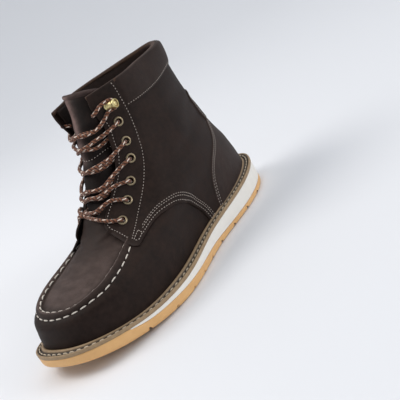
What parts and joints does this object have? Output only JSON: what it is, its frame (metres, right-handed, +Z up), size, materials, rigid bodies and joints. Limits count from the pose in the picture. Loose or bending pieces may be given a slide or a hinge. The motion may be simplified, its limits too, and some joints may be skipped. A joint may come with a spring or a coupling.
{
  "type": "work boot",
  "caption": "Left ankle-high lace-up work boot with a moc-toe upper, padded cuff, stitched welt and a white wedge over a tan zigzag-tread outsole.",
  "frame": {"origin": "on the floor under the middle of the boot's bounding box", "axes": "+X to the toe, +Y to the outer side of the foot, +Z up"},
  "size_m": [0.304, 0.1158, 0.1784],
  "materials": {
    "dark_brown_leather": "matte oiled nubuck",
    "lining_fabric": "matte",
    "welt_strip": "satin",
    "white_foam": "matte",
    "tan_rubber": "matte",
    "antique_brass": "aged",
    "lace_cord": "woven"
  },
  "bodies": {
    "root": {"outsole": "tan_rubber", "midsole": "white_foam", "welt": "welt_strip", "insole": "lining_fabric", "upper": "dark_brown_leather", "quarter_lateral": "dark_brown_leather", "quarter_medial": "dark_brown_leather", "cuff": "dark_brown_leather", "counter": "dark_brown_leather", "rear_stay": "dark_brown_leather", "tongue": "dark_brown_leather", "eyelet_lateral_1": "antique_brass", "eyelet_lateral_2": "antique_brass", "eyelet_lateral_3": "antique_brass", "eyelet_lateral_4": "antique_brass", "eyelet_lateral_5": "antique_brass", "eyelet_lateral_6": "antique_brass", "eyelet_medial_1": "antique_brass", "eyelet_medial_2": "antique_brass", "eyelet_medial_3": "antique_brass", "eyelet_medial_4": "antique_brass", "eyelet_medial_5": "antique_brass", "eyelet_medial_6": "antique_brass", "hook_lateral": "antique_brass", "hook_medial": "antique_brass", "lace": "lace_cord"}
  },
  "joints": []
}
